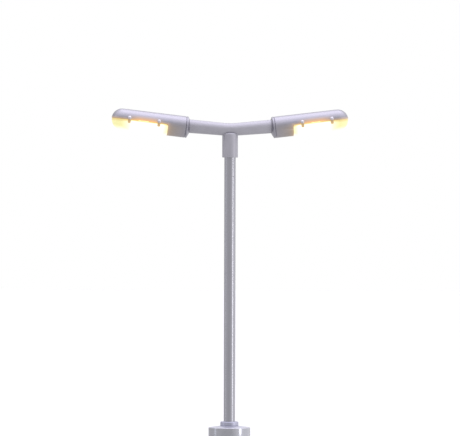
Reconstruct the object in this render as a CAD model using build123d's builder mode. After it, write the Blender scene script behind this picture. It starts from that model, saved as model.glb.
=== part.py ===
from build123d import *
import os
from math import cos, radians, sin, tan

os.makedirs("parts", exist_ok=True)

# Twin-arm lamp post for an HO (1:87) model railway layout, in millimetres.
# z = 0 is the layout surface, the mast stands on the z axis and the arms run along x.


# ---------------------------------------------------------------- driving dimensions
# socket that is glued into a 7 mm hole in the layout
flange_radius = 4.18
flange_height = 2.85
flange_seat_radius = 1.95
flange_rim_height = 2.54
flange_edge_round = 0.12
barrel_radius = 3.5
barrel_length = 12.0
glue_groove_radius = 0.2
glue_groove_pitch = 3.0
socket_bore_radius = 2.9
socket_ceiling = 1.4
top_hole_radius = 1.5
top_hole_chamfer = 0.12
barrel_lead_in = 0.2

insulator_radius = 2.88
insulator_top = 1.35
insulator_floor = -6.5
insulator_bottom = -8.2
insulator_chamfer = 0.15
press_gap = 0.02

outer_contact_radius = 1.7
outer_contact_bore = 1.5
outer_contact_top = 1.2
outer_contact_lead_in = 0.1
contact_tab_width = 0.8
contact_tab_thickness = 0.14
contact_slot_thickness = 0.26
contact_tab_bottom = -9.1
contact_tab_root = 0.5

centre_contact_radius = 0.8
centre_contact_bore = 0.53
centre_contact_top = -4.9
centre_contact_floor = -7.6
centre_contact_lead_in = 0.12
finger_slot_width = 0.2
finger_slot_depth = 1.5
solder_pin_radius = 0.35
solder_pin_bottom = -9.1

board_radius = 2.8
board_thickness = 0.6
diode_length = 1.4
diode_width = 0.8
diode_height = 0.65
diode_chamfer = 0.08
diode_x = 1.35
diode_y = 0.95
resistor_length = 1.6
resistor_width = 0.8
resistor_height = 0.45
resistor_cap_length = 0.3
resistor_coat = 0.05
resistor_y = -2.0
lug_width = 0.7
lug_thickness = 0.3
lug_x = 0.75
lug_y = 2.05
lug_bottom = -11.8
lug_shoulder = 0.15
lug_eye_radius = 0.18
lug_eye_height = 0.4
base_disc_top = -10.4
base_disc_thickness = 0.5

# plug at the foot of the mast
plug_radius = 1.2
plug_neck_radius = 1.0
plug_neck_bottom = -3.0
plug_neck_top = 1.0
plug_bottom = -4.0
plug_bore = 0.8
plug_bore_top = 1.4
plug_wire_bore = 0.55
plug_spigot_radius = 0.74
plug_spigot_top = 4.4
plug_spigot_chamfer = 0.08
plug_insulator_bottom = -4.6
plug_insulator_top = -0.4
plug_insulator_chamfer = 0.2
plug_press_gap = 0.01
plug_pin_radius = 0.5
plug_pin_tip = -7.3
plug_pin_top = 0.2
plug_pin_nose_round = 0.3
live_joint_radius = 0.46
live_joint_height = 0.3
live_joint_taper = 12
return_joint_height = 0.4
return_joint_edge = -0.08

cage_thickness = 0.12
cage_ring_radius = 1.04
cage_bulge_radius = 1.46
cage_bottom = -2.9
cage_top = 0.9
cage_ring_height = 0.4
cage_slot_width = 0.35
cage_slot_count = 8
cage_slit_width = 0.3

# mast and tee
mast_radius = 1.15
mast_bore = 0.75
mast_top = 60.4
collar_radius = 1.82
collar_height = 0.86
collar_edge_round = 0.2
collar_press_gap = 0.01
sleeve_radius = 1.58
sleeve_bottom = 56.5
sleeve_top = 61.4
sleeve_shoulder_round = 0.3
sleeve_lip_round = 0.1

arm_centre_height = 62.1
arm_tilt = 4.86
arm_bend_radius = 16.0
arm_radius_inner = 1.27
arm_radius_outer = 1.36
arm_length = 8.48
arm_bore = 0.62
arm_spigot_radius = 0.9
arm_spigot_end = 10.1
fit_gap = 0.02

# lamp heads
head_x = 8.94
head_z = 62.56
head_tilt = 6.8
head_radius = 2.14
head_length = 14.9
head_wall = 0.35
box_length = 3.55
shell_edge_height = 0.09
window_corner_round = 0.45
joint_bevel = 0.1
bulkhead_thickness = 0.5
bulkhead_root = 0.1
wire_hole_height = 1.02
wire_hole_radius = 0.45

cap_rim = 0.36
cap_cone_depth = 0.49
cap_face_radius = 1.1
cap_spigot_radius = 1.76
cap_spigot_bore = 1.4
cap_spigot_length = 0.8
cap_floor = 0.2

lens_radius = 2.08
lens_wall = 0.3
lens_gap = 0.05

clip_positions = (5.48, 11.42)
clip_boss_angle = 11.5
clip_boss_radius = 0.38
clip_boss_height = 0.22
clip_boss_taper = 25
clip_tongue_width = 0.56
clip_tongue_thickness = 0.12
clip_tongue_top = 17.5
clip_tongue_end = -17.0
clip_peg_radius = 0.18
clip_pip_angle = -9.5
clip_pip_radius = 0.14
clip_pip_depth = 0.2

led_board_start = 4.2
led_board_end = 12.5
led_board_half_width = 1.5
led_board_bottom = 0.5
led_board_top = 0.9
led_board_corner_round = 0.4
rail_height = 0.2
rail_width = 0.36
rail_centre = 1.62
led_position = 8.46
led_length = 2.0
led_width = 1.25
led_height = 0.7
led_contact_length = 0.3
led_contact_step = 0.3

wire_radius = 0.12
wire_x = 0.28
wire_y = 0.22
wire_height = 1.03
wire_end = 5.0
wire_box_bend = 2.75
wire_arm_bend = 0.2
wire_bend_radius = 1.0
wire_corner_radius = 0.45
solder_dome_radius = 0.19
solder_dome_height = 0.24
solder_dome_taper = 15
solder_fillet_length = 0.3
solder_fillet_height = 0.36


# ---------------------------------------------------------------- reference geometry
board_bottom = insulator_bottom - board_thickness
bend_centre_height = arm_centre_height + arm_bend_radius
arm_cos = cos(radians(arm_tilt))
arm_sin = sin(radians(arm_tilt))
arm_tangent_length = arm_bend_radius * tan(radians(arm_tilt))
arm_origin_height = bend_centre_height - arm_bend_radius / arm_cos
head_cos = cos(radians(head_tilt))
head_sin = sin(radians(head_tilt))
head_bore = head_radius - head_wall
dome_centre = head_length - head_radius
cap_face = -cap_rim - cap_cone_depth
lens_start = box_length + lens_gap

# side planes: x runs outwards along the arm or head, y runs upwards
arm_side = Plane(
    origin=(0, 0, arm_origin_height), x_dir=(arm_cos, 0, arm_sin), z_dir=(0, -1, 0)
)
arm_section = Plane(
    origin=(0, 0, arm_origin_height), x_dir=(0, 1, 0), z_dir=(arm_cos, 0, arm_sin)
)
arm_axis = Axis((0, 0, arm_origin_height), (arm_cos, 0, arm_sin))
bend_axis = Axis((0, 0, bend_centre_height), (0, -1, 0))
left_bend_end = Plane(
    origin=(-arm_bend_radius * arm_sin, 0, bend_centre_height - arm_bend_radius * arm_cos),
    x_dir=(0, 1, 0),
    z_dir=(arm_cos, 0, -arm_sin),
)
head_side = Plane(
    origin=(head_x, 0, head_z), x_dir=(head_cos, 0, head_sin), z_dir=(0, -1, 0)
)
head_section = Plane(
    origin=(head_x, 0, head_z), x_dir=(0, 1, 0), z_dir=(head_cos, 0, head_sin)
)
head_plan = Plane(
    origin=(head_x, 0, head_z), x_dir=(head_cos, 0, head_sin), z_dir=(-head_sin, 0, head_cos)
)
head_axis = Axis((head_x, 0, head_z), (head_cos, 0, head_sin))


def head_point(along, up, across):
    """World position of a point given in the right head's own directions."""
    return (
        head_x + along * head_cos - up * head_sin,
        across,
        head_z + along * head_sin + up * head_cos,
    )


def arm_point(along, across):
    """World position of a point on the right arm's centre plane."""
    return (along * arm_cos, across, arm_origin_height + along * arm_sin)


def radial_plane(along, angle, side):
    """Plane on the head's axis whose normal points radially at an angle above level."""
    up = sin(radians(angle))
    out = side * cos(radians(angle))
    return Plane(
        origin=head_point(along, 0, 0),
        x_dir=(head_cos, 0, head_sin),
        z_dir=(-head_sin * up, out, head_cos * up),
    )


def round_edges(builder, radius):
    """Circular edges of the part in progress that have the given radius."""
    circles = builder.edges().filter_by(GeomType.CIRCLE)
    return circles.filter_by(lambda edge: abs(edge.radius - radius) < 0.001)


# ================================================================ socket in the layout
with BuildPart() as socket_shell:
    with BuildSketch(Plane.XZ):
        with BuildLine():
            Polyline(
                (top_hole_radius, flange_height),
                (flange_seat_radius, flange_height),
                (flange_radius, flange_rim_height),
                (flange_radius, 0),
                (barrel_radius, 0),
                (barrel_radius, -barrel_length),
                (socket_bore_radius, -barrel_length),
                (socket_bore_radius, socket_ceiling),
                (top_hole_radius, socket_ceiling),
                close=True,
            )
        make_face()
    revolve(axis=Axis.Z)
    # half-round rings about the barrel that the glue keys into
    with BuildSketch(Plane.XZ):
        with Locations((barrel_radius, -barrel_length / 2)):
            with GridLocations(1, glue_groove_pitch, 1, 3):
                Circle(glue_groove_radius)
    revolve(axis=Axis.Z, mode=Mode.SUBTRACT)
    fillet(round_edges(socket_shell, flange_radius).sort_by(Axis.Z)[-1], flange_edge_round)
    chamfer(round_edges(socket_shell, barrel_radius).sort_by(Axis.Z)[0], barrel_lead_in)
    chamfer(round_edges(socket_shell, top_hole_radius).sort_by(Axis.Z)[-1], top_hole_chamfer)
socket_shell.part.label = "socket_shell"
export_step(socket_shell.part, "parts/socket_shell.step")

with BuildPart() as socket_insulator:
    with BuildSketch(Plane.XY.offset(insulator_bottom)):
        Circle(insulator_radius)
    extrude(amount=insulator_top - insulator_bottom)
    chamfer(socket_insulator.edges().sort_by(Axis.Z)[-1], insulator_chamfer)
    with BuildSketch(Plane.XY.offset(insulator_floor)):
        Circle(outer_contact_radius + press_gap)
    extrude(amount=insulator_top - insulator_floor, mode=Mode.SUBTRACT)
    with BuildSketch(Plane.XY.offset(insulator_bottom)):
        Circle(centre_contact_radius + press_gap)
    extrude(amount=insulator_floor - insulator_bottom, mode=Mode.SUBTRACT)
    # slot for the tab of the outer contact
    with BuildSketch(Plane.XY.offset(insulator_bottom)):
        with Locations(((outer_contact_bore + outer_contact_radius) / 2, 0)):
            Rectangle(contact_slot_thickness, contact_tab_width + 2 * press_gap)
    extrude(amount=insulator_floor - insulator_bottom, mode=Mode.SUBTRACT)
socket_insulator.part.label = "socket_insulator"
export_step(socket_insulator.part, "parts/socket_insulator.step")

with BuildPart() as outer_contact_sleeve:
    with BuildSketch(Plane.XY.offset(insulator_floor)):
        Circle(outer_contact_radius)
        Circle(outer_contact_bore, mode=Mode.SUBTRACT)
    extrude(amount=outer_contact_top - insulator_floor)
    chamfer(
        round_edges(outer_contact_sleeve, outer_contact_bore).sort_by(Axis.Z)[-1],
        outer_contact_lead_in,
    )
    # solder tab that goes down through the insulator and the board
    with BuildSketch(Plane.XY.offset(contact_tab_bottom)):
        with Locations(((outer_contact_bore + outer_contact_radius) / 2, 0)):
            Rectangle(contact_tab_thickness, contact_tab_width)
    extrude(amount=insulator_floor - contact_tab_bottom + contact_tab_root)
outer_contact_sleeve.part.label = "outer_contact_sleeve"
export_step(outer_contact_sleeve.part, "parts/outer_contact_sleeve.step")

with BuildPart() as centre_contact_socket:
    with BuildSketch(Plane.XY.offset(insulator_bottom)):
        Circle(centre_contact_radius)
    extrude(amount=centre_contact_top - insulator_bottom)
    with BuildSketch(Plane.XY.offset(centre_contact_floor)):
        Circle(centre_contact_bore)
    extrude(amount=centre_contact_top - centre_contact_floor, mode=Mode.SUBTRACT)
    chamfer(
        round_edges(centre_contact_socket, centre_contact_bore).sort_by(Axis.Z)[-1],
        centre_contact_lead_in,
    )
    # crossed slots leave four spring fingers
    with BuildSketch(Plane.XY.offset(centre_contact_top)):
        Rectangle(4 * centre_contact_radius, finger_slot_width)
        Rectangle(finger_slot_width, 4 * centre_contact_radius)
    extrude(amount=-finger_slot_depth, mode=Mode.SUBTRACT)
    with BuildSketch(Plane.XY.offset(solder_pin_bottom)):
        Circle(solder_pin_radius)
    extrude(amount=insulator_bottom - solder_pin_bottom)
centre_contact_socket.part.label = "centre_contact_socket"
export_step(centre_contact_socket.part, "parts/centre_contact_socket.step")

with BuildPart() as driver_board:
    with BuildSketch(Plane.XY.offset(board_bottom)):
        Circle(board_radius)
        Circle(solder_pin_radius + press_gap, mode=Mode.SUBTRACT)
        with Locations(((outer_contact_bore + outer_contact_radius) / 2, 0)):
            Rectangle(
                contact_slot_thickness, contact_tab_width + 2 * press_gap, mode=Mode.SUBTRACT
            )
        with Locations((-lug_x, lug_y), (lug_x, lug_y)):
            Rectangle(
                lug_width + 2 * press_gap, lug_thickness + 2 * press_gap, mode=Mode.SUBTRACT
            )
    extrude(amount=board_thickness)
driver_board.part.label = "driver_board"
export_step(driver_board.part, "parts/driver_board.step")

with BuildPart() as rectifier_diodes:
    with BuildSketch(Plane.XY.offset(board_bottom - diode_height)):
        with GridLocations(2 * diode_x, 2 * diode_y, 2, 2):
            Rectangle(diode_length, diode_width)
    extrude(amount=diode_height)
    chamfer(rectifier_diodes.faces().sort_by(Axis.Z)[:4].edges(), diode_chamfer)
rectifier_diodes.part.label = "rectifier_diodes"
export_step(rectifier_diodes.part, "parts/rectifier_diodes.step")

with BuildPart() as series_resistor:
    with BuildSketch(Plane.XY.offset(board_bottom - resistor_height)):
        with Locations((0, resistor_y)):
            Rectangle(resistor_length, resistor_width)
    extrude(amount=resistor_height)
    # the glass coat stands a little proud between the two metal ends
    with BuildSketch(Plane.XY.offset(board_bottom - resistor_height)):
        with Locations((0, resistor_y)):
            Rectangle(resistor_length - 2 * resistor_cap_length, resistor_width)
    extrude(amount=-resistor_coat)
series_resistor.part.label = "series_resistor"
export_step(series_resistor.part, "parts/series_resistor.step")

with BuildPart() as solder_lugs:
    with BuildSketch(Plane.XY.offset(lug_bottom)):
        with Locations((-lug_x, lug_y), (lug_x, lug_y)):
            Rectangle(lug_width, lug_thickness)
    extrude(amount=insulator_bottom - lug_bottom)
    # shoulders that seat under the board
    with BuildSketch(Plane.XY.offset(board_bottom - 2 * lug_shoulder)):
        with Locations((-lug_x, lug_y), (lug_x, lug_y)):
            Rectangle(lug_width + 2 * lug_shoulder, lug_thickness)
    extrude(amount=2 * lug_shoulder)
    # eyes for the supply leads
    with BuildSketch(Plane.XZ.offset(-lug_y - lug_thickness)):
        with Locations((-lug_x, lug_bottom + lug_eye_height), (lug_x, lug_bottom + lug_eye_height)):
            Circle(lug_eye_radius)
    extrude(amount=3 * lug_thickness, mode=Mode.SUBTRACT)
solder_lugs.part.label = "solder_lugs"
export_step(solder_lugs.part, "parts/solder_lugs.step")

with BuildPart() as socket_base_disc:
    with BuildSketch(Plane.XY.offset(base_disc_top)):
        Circle(insulator_radius)
        with Locations((-lug_x, lug_y), (lug_x, lug_y)):
            Rectangle(
                lug_width + 2 * press_gap, lug_thickness + 2 * press_gap, mode=Mode.SUBTRACT
            )
    extrude(amount=-base_disc_thickness)
socket_base_disc.part.label = "socket_base_disc"
export_step(socket_base_disc.part, "parts/socket_base_disc.step")


# ================================================================ spring cage in the neck
cage_mid = (cage_bottom + cage_top) / 2
cage_ring_outer = cage_ring_radius + cage_thickness
cage_bulge_inner = cage_bulge_radius - cage_thickness
cage_leaf_bottom = cage_bottom + cage_ring_height
cage_leaf_top = cage_top - cage_ring_height

with BuildPart() as contact_cage:
    with BuildSketch(Plane.XZ):
        with BuildLine():
            Polyline(
                (cage_ring_radius, cage_leaf_bottom),
                (cage_ring_radius, cage_bottom),
                (cage_ring_outer, cage_bottom),
                (cage_ring_outer, cage_leaf_bottom),
            )
            ThreePointArc(
                (cage_ring_outer, cage_leaf_bottom),
                (cage_bulge_radius, cage_mid),
                (cage_ring_outer, cage_leaf_top),
            )
            Polyline(
                (cage_ring_outer, cage_leaf_top),
                (cage_ring_outer, cage_top),
                (cage_ring_radius, cage_top),
                (cage_ring_radius, cage_leaf_top),
            )
            ThreePointArc(
                (cage_ring_radius, cage_leaf_top),
                (cage_bulge_inner, cage_mid),
                (cage_ring_radius, cage_leaf_bottom),
            )
        make_face()
    revolve(axis=Axis.Z)
    # slots between the spring leaves
    with BuildSketch(Plane.XY.offset(cage_leaf_bottom)):
        with PolarLocations(cage_ring_outer, cage_slot_count, start_angle=90):
            Rectangle(cage_ring_outer, cage_slot_width)
    extrude(amount=cage_leaf_top - cage_leaf_bottom, mode=Mode.SUBTRACT)
    # one slit runs right through, so the cage can be snapped over the neck
    with BuildSketch(Plane.XY.offset(cage_bottom)):
        with Locations((0, cage_ring_outer)):
            Rectangle(cage_slit_width, cage_ring_outer)
    extrude(amount=cage_top - cage_bottom, mode=Mode.SUBTRACT)
contact_cage.part.label = "contact_cage"
export_step(contact_cage.part, "parts/contact_cage.step")


# ================================================================ plug at the mast foot
with BuildPart() as plug_barrel:
    with BuildSketch(Plane.XZ):
        with BuildLine():
            Polyline(
                (plug_bore, plug_bottom),
                (plug_radius, plug_bottom),
                (plug_radius, plug_neck_bottom),
                (plug_neck_radius, plug_neck_bottom),
                (plug_neck_radius, plug_neck_top),
                (plug_radius, plug_neck_top),
                (plug_radius, flange_height),
                (plug_spigot_radius, flange_height),
                (plug_spigot_radius, plug_spigot_top),
                (plug_wire_bore, plug_spigot_top),
                (plug_wire_bore, plug_bore_top),
                (plug_bore, plug_bore_top),
                close=True,
            )
        make_face()
    revolve(axis=Axis.Z)
    chamfer(
        round_edges(plug_barrel, plug_spigot_radius).sort_by(Axis.Z)[-1], plug_spigot_chamfer
    )
plug_barrel.part.label = "plug_barrel"
export_step(plug_barrel.part, "parts/plug_barrel.step")

with BuildPart() as plug_insulator:
    with BuildSketch(Plane.XY.offset(plug_insulator_bottom)):
        Circle(plug_radius)
    extrude(amount=plug_bottom - plug_insulator_bottom)
    with BuildSketch(Plane.XY.offset(plug_bottom)):
        Circle(plug_bore - plug_press_gap)
    extrude(amount=plug_insulator_top - plug_bottom)
    with BuildSketch(Plane.XY.offset(plug_insulator_bottom)):
        Circle(plug_pin_radius + plug_press_gap)
    extrude(amount=plug_insulator_top - plug_insulator_bottom, mode=Mode.SUBTRACT)
    chamfer(round_edges(plug_insulator, plug_radius).sort_by(Axis.Z)[0], plug_insulator_chamfer)
plug_insulator.part.label = "plug_insulator"
export_step(plug_insulator.part, "parts/plug_insulator.step")

with BuildPart() as plug_centre_pin:
    with BuildSketch(Plane.XY.offset(plug_pin_tip)):
        Circle(plug_pin_radius)
    extrude(amount=plug_pin_top - plug_pin_tip)
    fillet(plug_centre_pin.edges().sort_by(Axis.Z)[0], plug_pin_nose_round)
plug_centre_pin.part.label = "plug_centre_pin"
export_step(plug_centre_pin.part, "parts/plug_centre_pin.step")

with BuildPart() as plug_solder_joints:
    # live joint on top of the centre pin
    with BuildSketch(Plane.XY.offset(plug_pin_top)):
        Circle(live_joint_radius)
    extrude(amount=live_joint_height, taper=live_joint_taper)
    # return joint under the ceiling of the plug barrel
    with BuildSketch(Plane.XY.offset(plug_bore_top - return_joint_height)):
        Circle(plug_bore - plug_press_gap)
        with Locations((0, return_joint_edge)):
            Rectangle(
                2 * plug_bore, plug_bore - return_joint_edge,
                align=(Align.CENTER, Align.MIN), mode=Mode.SUBTRACT,
            )
    extrude(amount=return_joint_height)
plug_solder_joints.part.label = "plug_solder_joints"
export_step(plug_solder_joints.part, "parts/plug_solder_joints.step")


# ================================================================ mast and tee
with BuildPart() as foot_collar:
    with BuildSketch(Plane.XY.offset(flange_height)):
        Circle(collar_radius)
        Circle(mast_radius + collar_press_gap, mode=Mode.SUBTRACT)
    extrude(amount=collar_height)
    fillet(round_edges(foot_collar, collar_radius).sort_by(Axis.Z)[-1], collar_edge_round)
foot_collar.part.label = "foot_collar"
export_step(foot_collar.part, "parts/foot_collar.step")

with BuildPart() as mast_tube:
    with BuildSketch(Plane.XY.offset(flange_height)):
        Circle(mast_radius)
        Circle(mast_bore, mode=Mode.SUBTRACT)
    extrude(amount=mast_top - flange_height)
mast_tube.part.label = "mast_tube"
export_step(mast_tube.part, "parts/mast_tube.step")

with BuildPart() as tee_bracket:
    # tapered arm on the right, with the spigot that carries the lamp head
    with BuildSketch(arm_side):
        with BuildLine():
            Polyline(
                (arm_tangent_length, 0),
                (arm_tangent_length, arm_radius_inner),
                (arm_length, arm_radius_outer),
                (arm_length, arm_spigot_radius),
                (arm_spigot_end, arm_spigot_radius),
                (arm_spigot_end, 0),
                close=True,
            )
        make_face()
    revolve(axis=arm_axis)
    mirror(about=Plane.YZ)
    # curved middle between the two arms
    with BuildSketch(left_bend_end):
        Circle(arm_radius_inner)
    revolve(axis=bend_axis, revolution_arc=2 * arm_tilt)
    # sleeve that slips over the mast, with a rounded shoulder and lip
    with BuildSketch(Plane.XZ):
        with BuildLine():
            Polyline(
                (0, sleeve_top),
                (0, sleeve_bottom),
                (sleeve_radius, sleeve_bottom),
                (sleeve_radius, sleeve_top),
                close=True,
            )
        make_face()
        fillet(vertices().group_by(Axis.X)[-1].sort_by(Axis.Y)[-1], sleeve_shoulder_round)
        fillet(vertices().group_by(Axis.X)[-1].sort_by(Axis.Y)[0], sleeve_lip_round)
    revolve(axis=Axis.Z)
    # bore for the mast and the wire passage above it
    with BuildSketch(Plane.XY.offset(sleeve_bottom)):
        Circle(mast_radius + fit_gap)
    extrude(amount=mast_top - sleeve_bottom, mode=Mode.SUBTRACT)
    with BuildSketch(Plane.XY.offset(mast_top)):
        Circle(mast_bore)
    extrude(amount=arm_centre_height - mast_top, mode=Mode.SUBTRACT)
    # wire bores out to both spigots
    for side in (1, -1):
        with BuildSketch(
            Plane(
                origin=(0, 0, arm_origin_height),
                x_dir=(0, 1, 0),
                z_dir=(side * arm_cos, 0, arm_sin),
            )
        ):
            Circle(arm_bore)
        extrude(amount=arm_spigot_end + 1, mode=Mode.SUBTRACT)
tee_bracket.part.label = "tee_bracket"
export_step(tee_bracket.part, "parts/tee_bracket.step")


# ================================================================ right lamp head
with BuildPart() as right_end_cap:
    with BuildSketch(head_side):
        with BuildLine():
            Polyline(
                (cap_face, 0),
                (cap_face, cap_face_radius),
                (-cap_rim, head_radius),
                (-joint_bevel, head_radius),
                (0, head_radius - joint_bevel),
                (0, cap_spigot_radius),
                (cap_spigot_length, cap_spigot_radius),
                (cap_spigot_length, cap_spigot_bore),
                (cap_floor, cap_spigot_bore),
                (cap_floor, 0),
                (cap_face, 0),
            )
        make_face()
    revolve(axis=head_axis)
    # seat for the end of the arm and hole for its spigot
    with BuildSketch(arm_section.offset(arm_length)):
        Circle(arm_radius_outer + fit_gap)
    extrude(amount=2 * cap_face, mode=Mode.SUBTRACT)
    with BuildSketch(arm_section.offset(arm_length)):
        Circle(arm_spigot_radius + fit_gap)
    extrude(amount=arm_spigot_end - arm_length, mode=Mode.SUBTRACT)
right_end_cap.part.label = "right_end_cap"
export_step(right_end_cap.part, "parts/right_end_cap.step")

with BuildPart() as right_housing:
    # round shell with a hemispherical free end
    with BuildSketch(head_side):
        with BuildLine():
            Polyline(
                (0, head_bore),
                (0, head_radius - joint_bevel),
                (joint_bevel, head_radius),
                (dome_centre, head_radius),
            )
            CenterArc((dome_centre, 0), head_radius, 90, -90)
            Line((head_length, 0), (head_length - head_wall, 0))
            CenterArc((dome_centre, 0), head_bore, 0, 90)
            Line((dome_centre, head_bore), (0, head_bore))
        make_face()
    revolve(axis=head_axis)
    # bulkhead between the wiring box and the lamp chamber
    with BuildSketch(head_section.offset(box_length - bulkhead_thickness)):
        Circle(head_bore + bulkhead_root)
    extrude(amount=bulkhead_thickness)
    # rails under the edges of the board
    with BuildSketch(head_section.offset(box_length - bulkhead_root)):
        with Locations((0, led_board_bottom - rail_height / 2)):
            with GridLocations(2 * rail_centre, 1, 2, 1):
                Rectangle(rail_width, rail_height)
    extrude(amount=led_board_end - box_length)
    # lens window: everything under the lower edge beyond the box is open
    with BuildSketch(head_side):
        with Locations((box_length, shell_edge_height)):
            Rectangle(head_length, 2 * head_radius, align=(Align.MIN, Align.MAX))
        fillet(vertices().group_by(Axis.X)[0].sort_by(Axis.Y)[-1], window_corner_round)
    extrude(amount=2 * head_radius, both=True, mode=Mode.SUBTRACT)
    # hole for the wires
    with BuildSketch(head_section.offset(box_length - 2 * bulkhead_thickness)):
        with Locations((0, wire_hole_height)):
            Circle(wire_hole_radius)
    extrude(amount=3 * bulkhead_thickness, mode=Mode.SUBTRACT)
    # holes for the pegs of the lens clips
    for position in clip_positions:
        for side in (1, -1):
            with BuildSketch(radial_plane(position, clip_boss_angle, side)):
                Circle(clip_peg_radius + fit_gap)
            extrude(amount=2 * head_radius, mode=Mode.SUBTRACT)
right_housing.part.label = "right_housing"
export_step(right_housing.part, "parts/right_housing.step")

with BuildPart() as right_lens:
    # closed trough with a quarter-sphere at the free end
    with BuildSketch(head_side):
        with BuildLine():
            Polyline(
                (lens_start + lens_wall, 0),
                (lens_start, 0),
                (lens_start, lens_radius),
                (dome_centre, lens_radius),
            )
            CenterArc((dome_centre, 0), lens_radius, 90, -90)
            Line((dome_centre + lens_radius, 0), (dome_centre + lens_radius - lens_wall, 0))
            CenterArc((dome_centre, 0), lens_radius - lens_wall, 0, 90)
            Polyline(
                (dome_centre, lens_radius - lens_wall),
                (lens_start + lens_wall, lens_radius - lens_wall),
                (lens_start + lens_wall, 0),
            )
        make_face()
    revolve(axis=head_axis)
    with BuildSketch(head_side):
        with Locations((lens_start, shell_edge_height - lens_gap)):
            Rectangle(head_length, 2 * head_radius, align=(Align.MIN, Align.MAX))
        fillet(vertices().group_by(Axis.X)[0].sort_by(Axis.Y)[-1], window_corner_round)
    extrude(amount=2 * head_radius, both=True, mode=Mode.INTERSECT)
    # dimples that the clips snap into
    for position in clip_positions:
        for side in (1, -1):
            dimple = radial_plane(position, clip_pip_angle, side)
            with BuildSketch(dimple.offset(lens_radius - clip_pip_depth)):
                Circle(clip_pip_radius + fit_gap)
            extrude(amount=2 * clip_pip_depth, mode=Mode.SUBTRACT)
right_lens.part.label = "right_lens"
export_step(right_lens.part, "parts/right_lens.step")

with BuildPart() as right_lens_clips:
    for position in clip_positions:
        for side in (1, -1):
            # tongue that follows the round of the shell down over the lens
            start = 90 - side * (90 - clip_tongue_end)
            sweep_angle = side * (clip_tongue_top - clip_tongue_end)
            with BuildSketch(head_section.offset(position - clip_tongue_width / 2)):
                with BuildLine():
                    outer_arc = CenterArc(
                        (0, 0), head_radius + clip_tongue_thickness, start, sweep_angle
                    )
                    inner_arc = CenterArc((0, 0), head_radius, start, sweep_angle)
                    Line(outer_arc @ 0, inner_arc @ 0)
                    Line(outer_arc @ 1, inner_arc @ 1)
                make_face()
            extrude(amount=clip_tongue_width)
            # domed boss with its peg through the shell
            boss = radial_plane(position, clip_boss_angle, side)
            with BuildSketch(boss.offset(head_radius)):
                Circle(clip_boss_radius)
            extrude(amount=clip_boss_height, taper=clip_boss_taper)
            with BuildSketch(boss.offset(head_bore + fit_gap)):
                Circle(clip_peg_radius)
            extrude(amount=head_wall)
            # pip that snaps into the lens
            pip = radial_plane(position, clip_pip_angle, side)
            with BuildSketch(pip.offset(lens_radius - clip_pip_depth + fit_gap)):
                Circle(clip_pip_radius)
            extrude(amount=clip_pip_depth + head_radius - lens_radius)
right_lens_clips.part.label = "right_lens_clips"
export_step(right_lens_clips.part, "parts/right_lens_clips.step")

with BuildPart() as right_led_board:
    with BuildSketch(head_plan.offset(led_board_bottom)):
        with Locations((led_board_start, 0)):
            Rectangle(
                led_board_end - led_board_start,
                2 * led_board_half_width,
                align=(Align.MIN, Align.CENTER),
            )
        fillet(vertices().group_by(Axis.X)[-1], led_board_corner_round)
    extrude(amount=led_board_top - led_board_bottom)
right_led_board.part.label = "right_led_board"
export_step(right_led_board.part, "parts/right_led_board.step")

with BuildPart() as right_led:
    with BuildSketch(head_plan.offset(led_board_bottom - led_height)):
        with Locations((led_position, 0)):
            Rectangle(led_length, led_width)
    extrude(amount=led_height)
    # clear body in the middle stands lower than the two contact ends
    with BuildSketch(head_plan.offset(led_board_bottom - led_height)):
        with Locations((led_position, 0)):
            with GridLocations(led_length, 1, 2, 1):
                Rectangle(2 * led_contact_length, 2 * led_width)
    extrude(amount=led_contact_step, mode=Mode.SUBTRACT)
right_led.part.label = "right_led"
export_step(right_led.part, "parts/right_led.step")

with BuildPart() as right_solder_joints:
    # domes over the two wire ends
    with BuildSketch(head_plan.offset(led_board_top)):
        with Locations((wire_end + solder_dome_radius, 0)):
            with GridLocations(1, 2 * wire_y, 1, 2):
                Circle(solder_dome_radius)
    extrude(amount=solder_dome_height, taper=solder_dome_taper)
    # fillets at both ends of the LED
    with BuildSketch(head_side.offset(-led_width / 2)):
        for end in (1, -1):
            with BuildLine():
                Polyline(
                    (led_position + end * led_length / 2, led_board_bottom),
                    (led_position + end * (led_length / 2 + solder_fillet_length), led_board_bottom),
                    (led_position + end * led_length / 2, led_board_bottom - solder_fillet_height),
                    close=True,
                )
            make_face()
    extrude(amount=led_width)
right_solder_joints.part.label = "right_solder_joints"
export_step(right_solder_joints.part, "parts/right_solder_joints.step")


# ---------------------------------------------------------------- wires of the right arm
def build_wire(across, lower_end):
    """Enamelled wire from the head's board through the arm and down the mast."""
    with BuildPart() as wire:
        with BuildLine() as route:
            FilletPolyline(
                head_point(wire_end, wire_height, across),
                head_point(wire_box_bend, wire_height, across),
                arm_point(arm_spigot_end + wire_arm_bend, across),
                (wire_x, across, arm_centre_height),
                (wire_x, across, lower_end),
                radius=[wire_bend_radius, wire_bend_radius, wire_corner_radius],
            )
        with BuildSketch(Plane(origin=route.line @ 0, z_dir=route.line % 0)):
            Circle(wire_radius)
        sweep(path=route.line)
    return wire


right_live_wire = build_wire(wire_y, plug_pin_top + live_joint_height)
right_live_wire.part.label = "right_live_wire"
export_step(right_live_wire.part, "parts/right_live_wire.step")

right_return_wire = build_wire(-wire_y, plug_bore_top)
right_return_wire.part.label = "right_return_wire"
export_step(right_return_wire.part, "parts/right_return_wire.step")


# ================================================================ left lamp head
# The left head and its wires are the mirror image of the right ones.
right_pieces = {
    "end_cap": right_end_cap,
    "housing": right_housing,
    "lens": right_lens,
    "lens_clips": right_lens_clips,
    "led_board": right_led_board,
    "led": right_led,
    "solder_joints": right_solder_joints,
    "live_wire": right_live_wire,
    "return_wire": right_return_wire,
}
for name, right_piece in right_pieces.items():
    with BuildPart() as left_piece:
        mirror(right_piece.part, about=Plane.YZ)
    left_piece.part.label = f"left_{name}"
    export_step(left_piece.part, f"parts/left_{name}.step")
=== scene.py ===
"""Looks of the twin-arm model lamp post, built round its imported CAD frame."""

import math

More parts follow.
